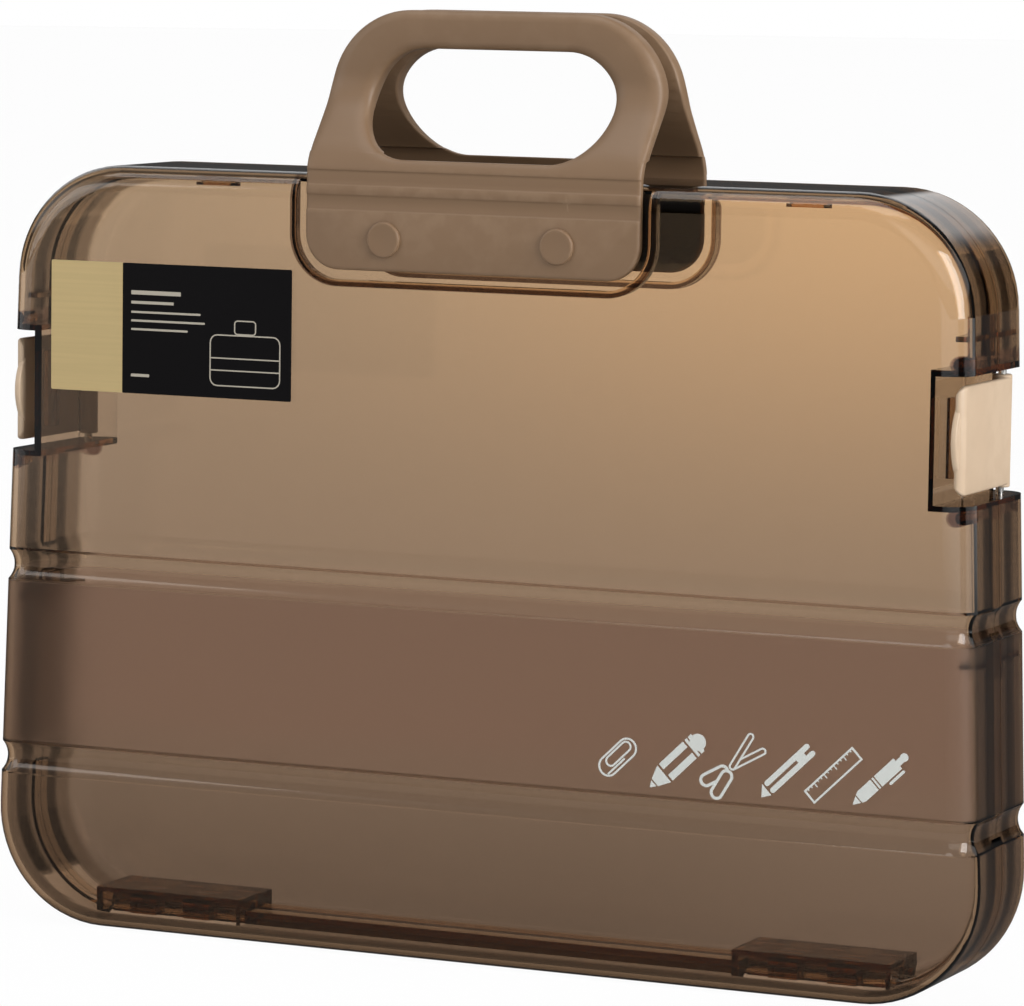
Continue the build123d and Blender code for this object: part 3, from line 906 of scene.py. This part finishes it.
@dataclass
class Rivets:
    """The two round rivets that fasten a handle plate, with their shanks.

    `hollow` gives radii on the slightly dished head and how far each lies below its rim.
    """

    side: Side
    spacing: float = 58 * MM
    height: float = 223.5 * MM
    head_radius: float = 5.5 * MM
    head_rise: float = 1.2 * MM
    hollow: tuple[Span, ...] = ((0.0, 0.12 * MM), (3.025 * MM, 0.08 * MM), (4.38 * MM, 0.0))
    seat: float = 26.7 * MM
    edge_round: float = 0.7 * MM
    edge_steps: int = 6
    shank_radius: float = 2.5 * MM
    shank_end: float = 20.4 * MM
    segments: int = 72

    def profile(self) -> list[Span]:
        """Finds the turned outline, from the head's middle to the shank's end.

        Returns:
            Radius and depth of each point.
        """
        top = self.seat + self.head_rise
        points = [(radius, top - depth) for radius, depth in self.hollow]
        for index in range(self.edge_steps + 1):
            angle = QUARTER * index / self.edge_steps
            points.append((self.head_radius - self.edge_round * (1 - math.sin(angle)),
                           top - self.edge_round * (1 - math.cos(angle))))
        return points + [(self.head_radius, self.seat), (self.shank_radius, self.seat),
                         (self.shank_radius, self.shank_end), (0.0, self.shank_end)]

    def build(self, palette: Palette) -> Piece:
        """Builds and dresses the pair.

        Args:
            palette: The finishes.

        Returns:
            The finished piece.
        """
        draft = bmesh.new()
        for centre_x in (-self.spacing / 2, self.spacing / 2):
            rings = []
            for radius, depth in self.profile():
                count = self.segments if radius > 0 else 1
                angles = [2 * math.pi * index / count for index in range(count)]
                rings.append([draft.verts.new(self.side.place(
                    centre_x + radius * math.cos(angle), depth,
                    self.height + radius * math.sin(angle))) for angle in angles])
            for first, second in zip(rings, rings[1:]):
                skin(draft, first, second)
        made = mesh_object(self.side.word + "_rivets", draft, palette.handle)
        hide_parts(self.side.word + "_handle_rivets")
        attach(made, self.side.body)
        return made


@dataclass(frozen=True)
class Station:
    """A place along the middle line of a latch's cover plate.

    `turn` is the direction of the outward normal there, in radians, and `end` the distance from
    the front end.
    """

    x: float
    depth: float
    turn: float
    end: float


@dataclass
class Latch:
    """Side latch: a curved cover plate with its barrel, hook and crescent thumb tab."""

    sign: int
    outer_x: float = 159.517 * MM
    thickness: float = 2.2 * MM
    nose_radius: float = 3.0 * MM
    front: float = 25.0 * MM
    half_height: float = 16.2 * MM
    corner: float = 3.6 * MM
    edge: float = 0.75 * MM
    edge_share: float = 0.95
    tip_half: float = 0.02 * MM
    flat_shares: tuple[float, ...] = (1.0, 0.6, 0.3, 0.12, 0.04, 0.0)
    nose_steps: int = 14
    tip_angles: tuple[float, ...] = (75, 60, 45, 30, 15)
    corner_steps: int = 4
    pivot_depth: float = -17.0 * MM
    barrel_radius: float = 3.0 * MM
    barrel_half: float = 17.0 * MM
    barrel_bevel: float = 0.3 * MM
    barrel_segments: int = 48
    hook_box: Limits = (155.02 * MM, 158.4 * MM, 12.0 * MM, 16.0 * MM)
    hook_half: float = 12.0 * MM
    tab_span: Span = (156.3 * MM, 158.2 * MM)
    tab_root: float = 23.4 * MM
    tab_tip: float = 27.4 * MM
    tab_half: float = 10.25 * MM
    tab_round: float = 0.6 * MM
    tab_steps: int = 10
    tab_segments: int = 32

    @property
    def word(self) -> str:
        """Name of the latch and of the body it rides on."""
        return "left_latch" if self.sign < 0 else "right_latch"

    def vertex(self, draft: Draft, x: float, depth: float, rise: float) -> Vertex:
        """Adds a vertex at an outward x, a depth before the parting plane and a rise."""
        return draft.verts.new(Side.FRONT.place(self.sign * x, depth, LATCH_HEIGHT + rise))

    def stations(self) -> list[Station]:
        """Finds the places along the plate's middle line.

        Returns:
            The places, from the barrel to the front end.
        """
        half = self.thickness / 2
        bend = self.nose_radius - half
        arc = bend * QUARTER
        nose = self.front - self.nose_radius
        stops = [arc + (nose - self.pivot_depth) * share for share in self.flat_shares]
        stops += [arc * (1 - index / self.nose_steps) for index in range(1, self.nose_steps + 1)]
        stops += [half * (1 - math.cos(math.radians(angle))) for angle in self.tip_angles]
        places = []
        for end in sorted(set(round(stop, 9) for stop in stops), reverse=True):
            if end >= arc:
                places.append(Station(self.outer_x - half, nose - (end - arc), 0.0, end))
                continue
            turn = (arc - end) / bend
            places.append(Station(self.outer_x - self.nose_radius + bend * math.cos(turn),
                                  nose + bend * math.sin(turn), turn, end))
        return places

    def section(self, draft: Draft, station: Station) -> Ring:
        """Adds the plate's rounded cross-section at one place.

        Args:
            draft: The mesh to add to.
            station: The place.

        Returns:
            The ring of vertices.
        """
        half = self.thickness / 2
        taper = drop = 0.0
        if station.end < half:
            taper = 1 - math.sqrt(max(1 - (1 - station.end / half) ** 2, 0.0))
        if station.end < self.corner:
            drop = self.corner - math.sqrt(self.corner**2 - (self.corner - station.end) ** 2)
        thick = max(half * (1 - taper), self.tip_half)
        tall = self.half_height - drop
        radius = min(self.edge, self.edge_share * thick)
        ring = []
        for corner, (side_n, side_z) in enumerate(((1, 1), (-1, 1), (-1, -1), (1, -1))):
            for step in range(self.corner_steps + 1):
                angle = QUARTER * (corner + step / self.corner_steps)
                across = side_n * (thick - radius) + radius * math.cos(angle)
                rise = side_z * (tall - radius) + radius * math.sin(angle)
                ring.append(self.vertex(draft, station.x + across * math.cos(station.turn),
                                        station.depth + across * math.sin(station.turn), rise))
        return ring

    def add_barrel(self, draft: Draft) -> None:
        """Adds the round hinge barrel at the rear end of the plate.

        Args:
            draft: The mesh to add to.
        """
        centre_x = self.outer_x - self.barrel_radius
        narrow, low = self.barrel_radius - self.barrel_bevel, self.barrel_half - self.barrel_bevel
        angles = [2 * math.pi * index / self.barrel_segments
                  for index in range(self.barrel_segments)]
        closed_body(draft, [
            [self.vertex(draft, centre_x + radius * math.cos(angle),
                         self.pivot_depth + radius * math.sin(angle), rise) for angle in angles]
            for radius, rise in ((narrow, -self.barrel_half), (self.barrel_radius, -low),
                                 (self.barrel_radius, low), (narrow, self.barrel_half))])

    def add_hook(self, draft: Draft) -> None:
        """Adds the hook behind the plate that grips the front shell's catch.

        Args:
            draft: The mesh to add to.
        """
        inner, outer, back, face = self.hook_box
        corners = ((inner, back), (outer, back), (outer, face), (inner, face))
        closed_body(draft, [[self.vertex(draft, x, depth, rise) for x, depth in corners]
                            for rise in (-self.hook_half, self.hook_half)])

    def add_tab(self, draft: Draft) -> None:
        """Adds the crescent lip for the thumb.

        Args:
            draft: The mesh to add to.
        """
        rise = self.tab_tip - self.tab_root
        radius = (self.tab_half**2 + rise**2) / (2 * rise)
        centre = self.tab_tip - radius
        low_x, high_x = self.tab_span
        rings = []
        for step in range(self.tab_steps + 1):
            bend = math.pi * step / self.tab_steps
            if 2 * step > self.tab_steps:
                x = high_x - self.tab_round * (1 + math.cos(bend))
            else:
                x = low_x + self.tab_round * (1 - math.cos(bend))
            reach = radius - self.tab_round * (1 - math.sin(bend))
            limit = math.acos((self.tab_root - centre) / reach)
            angles = [limit * (2 * index / self.tab_segments - 1)
                      for index in range(self.tab_segments + 1)]
            rings.append([self.vertex(draft, x, centre + reach * math.cos(angle),
                                      reach * math.sin(angle)) for angle in angles])
        closed_body(draft, rings)

    def build(self, palette: Palette) -> Piece:
        """Builds and dresses the latch.

        Args:
            palette: The finishes.

        Returns:
            The finished piece.
        """
        draft = bmesh.new()
        closed_body(draft, [self.section(draft, station) for station in self.stations()])
        self.add_barrel(draft)
        self.add_hook(draft)
        self.add_tab(draft)
        made = mesh_object(self.word + "_cover", draft, palette.latch, 40)
        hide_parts(self.word)
        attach(made, self.word)
        return made


@dataclass
class Label:
    """Printed film on the front: a metallic block, a black block, and fine print on the black.

    Each of the bars that stand for lines of print gives its height, length and thickness. The
    small drawing is a case: a rounded outline, two level rules and a handle.
    """

    left: float = -144.9 * MM
    split: float = -119.4 * MM
    right: float = -60.1 * MM
    low: float = 172.1 * MM
    high: float = 213.0 * MM
    surface: float = 27.0 * MM
    gap: float = 0.01 * MM
    film: float = 0.25 * MM
    ink: float = 0.05 * MM
    corner: float = 0.5 * MM
    corner_step: float = 0.4 * MM
    bar_left: float = -116.3 * MM
    bar_corner: float = 0.2 * MM
    bars: tuple[Point, ...] = (
        (203.2 * MM, 17.5 * MM, 1.3 * MM), (200.3 * MM, 15.0 * MM, 0.9 * MM),
        (197.4 * MM, 24.5 * MM, 0.65 * MM), (194.7 * MM, 26.0 * MM, 0.65 * MM),
        (192.0 * MM, 20.0 * MM, 0.65 * MM), (177.4 * MM, 6.5 * MM, 0.9 * MM))
    icon: Limits = (-88.5 * MM, -63.8 * MM, 175.8 * MM, 192.0 * MM)
    icon_corner: float = 2.6 * MM
    icon_line: float = 0.4 * MM
    icon_step: float = 1.0
    icon_handle: Limits = (-80.0 * MM, -72.3 * MM, 192.0 * MM, 196.6 * MM)
    icon_handle_corner: float = 1.2 * MM
    rules: Span = (180.6 * MM, 184.4 * MM)
    rule_corner: float = 0.1 * MM

    @staticmethod
    def ring(draft: Draft, limits: Limits, radius: float, step: float, depth: float) -> Ring:
        """Adds the vertices of a rounded rectangle.

        Args:
            draft: The mesh to add to.
            limits: Left, right, low and high limits.
            radius: Corner radius.
            step: Spacing of the vertices.
            depth: Depth outward of the parting plane.

        Returns:
            The vertices, in order.
        """
        left, right, low, high = limits
        middle = (left + right) / 2
        outline = rounded_outline((right - left) / 2, low, high, radius, radius, step)
        return [draft.verts.new(Side.FRONT.place(middle + point.x, depth, point.z))
                for point in outline]

    def slab(self, draft: Draft, limits: Limits, radius: float, depths: Span) -> None:
        """Adds a thin plate with rounded corners between two depths."""
        closed_body(draft, [self.ring(draft, limits, radius, self.corner_step, depth)
                            for depth in depths])

    def loop(self, draft: Draft, limits: Limits, radius: float, depths: Span) -> None:
        """Adds a thin closed line along a rounded rectangle.

        Args:
            draft: The mesh to add to.
            limits: Left, right, low and high limits of its outer edge.
            radius: Corner radius of its outer edge.
            depths: Depths of its back and its face.
        """
        left, right, low, high = limits
        line, back, face = self.icon_line, *depths
        inner = (left + line, right - line, low + line, high - line)
        rings = [self.ring(draft, edge, corner, self.icon_step, depth) for edge, corner, depth in (
            (limits, radius, back), (limits, radius, face), (inner, radius - line, face),
            (inner, radius - line, back))]
        for first, second in zip(rings, rings[1:] + rings[:1]):
            skin(draft, first, second)

    def finish(self, name: str, draft: Draft, material: Material) -> Piece:
        """Turns one layer into a piece that rides on the front shell.

        Args:
            name: Name of the piece.
            draft: Its mesh.
            material: Its finish.

        Returns:
            The finished piece.
        """
        made = mesh_object(name, draft, material)
        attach(made, Side.FRONT.body)
        return made

    def build(self, palette: Palette) -> list[Piece]:
        """Builds and dresses the label's layers.

        Args:
            palette: The finishes.

        Returns:
            The metallic block, the black block and the print.
        """
        face = self.surface + self.film
        pieces = []
        for name, left, right, material in (("label_metallic", self.left, self.split, palette.gold),
                                            ("label_black", self.split, self.right, palette.black)):
            draft = bmesh.new()
            self.slab(draft, (left, right, self.low, self.high), self.corner,
                      (self.surface + self.gap, face))
            made = self.finish(name, draft, material)
            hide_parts("label")
            pieces.append(made)
        draft = bmesh.new()
        depths = (face, face + self.ink)
        for height, length, thick in self.bars:
            self.slab(draft, (self.bar_left, self.bar_left + length, height, height + thick),
                      self.bar_corner, depths)
        self.loop(draft, self.icon, self.icon_corner, depths)
        self.loop(draft, self.icon_handle, self.icon_handle_corner, depths)
        for height in self.rules:
            self.slab(draft, (self.icon[0] + self.icon_line, self.icon[1] - self.icon_line, height,
                              height + self.icon_line), self.rule_corner, depths)
        return pieces + [self.finish("label_print", draft, palette.fine_print)]


@dataclass
class CadFinishes:
    """Finishes for the CAD nodes that show as they are."""

    palette: Palette

    def dress(self) -> None:
        """Gives each visible CAD node its material."""
        palette = self.palette
        finishes = {
            palette.shell: ("front_shell", "rear_shell"),
            palette.wire: ("left_latch_pin", "right_latch_pin", "left_hinge_pin", "right_hinge_pin"),
            palette.handle: ("front_rivet_caps", "rear_rivet_caps"),
            palette.ink: ("printed_pictograms",),
        }
        for material, names in finishes.items():
            for name in names:
                materials = frame["nodes"][name].data.materials
                materials.clear()
                materials.append(material)


@dataclass(frozen=True)
class PhotoCamera:
    """The camera that looks at the case as the photograph does, its angles in degrees."""

    yaw: float = 24.4251
    pitch: float = 6.2257
    roll: float = 0.8161
    distance: float = 1.6507
    focal_pixels: float = 5329.78
    image_width: float = 1024.0
    sensor: float = 36.0
    target: Point = (0.0036, 0.0, 0.1419)

    def place(self) -> None:
        """Creates the camera and makes it the scene's own."""
        yaw, pitch, roll = (math.radians(value) for value in (self.yaw, self.pitch, self.roll))
        back = Vector((math.sin(yaw) * math.cos(pitch), -math.cos(yaw) * math.cos(pitch),
                       math.sin(pitch)))
        right = (-back).cross(Vector((0, 0, 1))).normalized()
        up = right.cross(-back)
        turned_right = math.cos(roll) * right + math.sin(roll) * up
        turned_up = math.cos(roll) * up - math.sin(roll) * right
        data = bpy.data.cameras.new("photo_camera")
        data.sensor_width = self.sensor
        data.lens = self.focal_pixels / self.image_width * self.sensor
        camera = bpy.data.objects.new("photo_camera", data)
        matrix = Matrix((turned_right, turned_up, back)).transposed().to_4x4()
        matrix.translation = Vector(self.target) + self.distance * back
        camera.matrix_world = matrix
        bpy.context.scene.collection.objects.link(camera)
        bpy.context.scene.camera = camera


@dataclass(frozen=True)
class SoftBox:
    """One soft studio lamp."""

    name: str
    place: Point
    size: Span
    power: float
    aim: Point = (0.0, 0.0, 0.14)

    def build(self) -> None:
        """Adds the lamp to the scene."""
        data = bpy.data.lights.new(self.name, "AREA")
        data.shape = "RECTANGLE"
        data.size, data.size_y = self.size
        data.energy = self.power
        lamp = bpy.data.objects.new(self.name, data)
        lamp.location = self.place
        direction = Vector(self.aim) - Vector(self.place)
        lamp.rotation_euler = direction.to_track_quat("-Z", "Y").to_euler()
        bpy.context.scene.collection.objects.link(lamp)


@dataclass(frozen=True)
class Studio:
    """Pale floor, soft lamps and four white panels around the case with dim gaps between."""

    floor_radius: float = 14.0
    floor_segments: int = 96
    floor_colour: Colour = (0.90, 0.90, 0.90)
    cloth_shade: float = 0.98
    cloth_scale: float = 3.0
    shown_white: float = 0.97
    fill_level: float = 0.42
    panel_turn: float = 24.43
    panel_count: float = 4.0
    panel_edge: Span = (-0.85, -0.35)
    gap_level: float = 0.06
    overhead_level: float = 0.12
    overhead: Span = (0.45, 0.75)
    horizon: Span = (0.17, 0.24)
    lit_floor: Span = (0.8, 2.0)
    lamps: tuple[SoftBox, ...] = (
        SoftBox("right_softbox", (1.7, -0.5, 0.9), (1.0, 1.4), 31.0),
        SoftBox("top_softbox", (-0.3, -0.4, 1.9), (1.6, 1.2), 12.0),
        SoftBox("left_softbox", (-1.5, -1.4, 0.8), (0.9, 1.2), 6.0),
    )

    def seen_directly(self, shader: Shader) -> Socket:
        """Makes a mask that is one for camera, mirror and see-through rays.

        Args:
            shader: The world or material under construction.

        Returns:
            The mask.
        """
        path = shader.node("LightPath").outputs
        mask = shader.math("MAXIMUM", path["Is Camera Ray"], path["Is Glossy Ray"])
        return shader.math("MAXIMUM", mask, path["Is Transmission Ray"])

    def panels(self, shader: Shader, direction: Socket) -> Socket:
        """Brightness of the surroundings that mirror and see-through rays meet.

        Args:
            shader: The world or material under construction.
            direction: Direction from the case, its height along Z.

        Returns:
            The brightness.
        """
        split = shader.node("SeparateXYZ", Vector=direction).outputs
        heading = shader.math("ARCTAN2", split["X"], split["Y"])
        turned = shader.math("ADD", heading, math.radians(self.panel_turn))
        wave = shader.math("COSINE", shader.product(turned, self.panel_count))
        level = shader.span(wave, *self.panel_edge, self.gap_level, 1.0)
        overhead = shader.span(split["Z"], *self.overhead)
        change = shader.math("SUBTRACT", self.overhead_level, level)
        return shader.math("MULTIPLY_ADD", overhead, change, level)

    def build_world(self) -> None:
        """White background, panels in reflections and an even fill on matt surfaces."""
        world = bpy.data.worlds.new("studio")
        world.use_nodes = True
        bpy.context.scene.world = world
        shader = Shader(world.node_tree)
        path = shader.node("LightPath").outputs
        fill = shader.node("Background", Color=WHITE, Strength=self.fill_level)
        direction = shader.node("TexCoord").outputs["Generated"]
        up = shader.node("SeparateXYZ", Vector=direction).outputs["Z"]
        above = shader.span(up, *self.horizon, self.gap_level, 1.0)
        above = shader.math("MAXIMUM", above, path["Is Transmission Ray"])
        level = shader.product(self.panels(shader, direction), above)
        shown = shader.math("MAXIMUM", level, path["Is Camera Ray"])
        surroundings = shader.node("Background", Color=WHITE, Strength=shown)
        mixed = shader.node("MixShader", i0=self.seen_directly(shader), i1=fill.outputs[0],
                            i2=surroundings.outputs[0])
        shader.node("OutputWorld", Surface=mixed.outputs[0])

    def build_floor(self) -> None:
        """Round pale floor: a soft shadow over the white world, and a case opened below it shows."""
        draft = bmesh.new()
        bmesh.ops.create_circle(draft, cap_ends=True, radius=self.floor_radius,
                                segments=self.floor_segments)
        material, shader = new_material("pale_floor")
        colour = shader.mix(shader.noise(self.cloth_scale, 2.0),
                            scaled(self.floor_colour, self.cloth_shade), self.floor_colour)
        matte = shader.node("BsdfPrincipled", Base_Color=colour, Roughness=0.9)
        place = shader.place()
        distance = shader.node("VectorMath", {"operation": "LENGTH"}, i0=place).outputs["Value"]
        level = shader.product(shader.span(distance, *self.lit_floor), self.panels(shader, place))
        level = shader.math("MAXIMUM", level, self.gap_level)
        path = shader.node("LightPath").outputs
        shown = shader.math("MAXIMUM", level, path["Is Transmission Ray"])
        glow = shader.node("Emission", Color=WHITE, Strength=shown)
        clear = shader.node("BsdfTransparent")
        seen = shader.node("MixShader", i0=path["Is Camera Ray"], i1=glow.outputs[0],
                           i2=clear.outputs[0])
        share = shader.product(self.seen_directly(shader), self.shown_white)
        mixed = shader.node("MixShader", i0=share, i1=matte.outputs[0], i2=seen.outputs[0])
        shader.node("OutputMaterial", Surface=mixed.outputs[0])
        mesh_object("floor", draft, material)

    def build(self) -> None:
        """Builds floor, world and lamps and sets the plain view transform."""
        self.build_world()
        self.build_floor()
        for lamp in self.lamps:
            lamp.build()
        bpy.context.scene.view_settings.view_transform = "Standard"


def main() -> None:
    """Builds the studio and every visible piece of the case."""
    logging.basicConfig(level=logging.INFO, format="%(message)s")
    palette = Palette()
    PhotoCamera().place()
    Studio().build()
    CadFinishes(palette).dress()
    pieces = Label().build(palette) + [Latch(sign).build(palette) for sign in (-1, 1)]
    for side in Side:
        pieces += [Handle(side).build(palette), Rivets(side).build(palette)]
    for piece in pieces:
        LOG.info("built %s with %d faces", piece.name, len(piece.data.polygons))


if __name__ == "__main__":
    main()
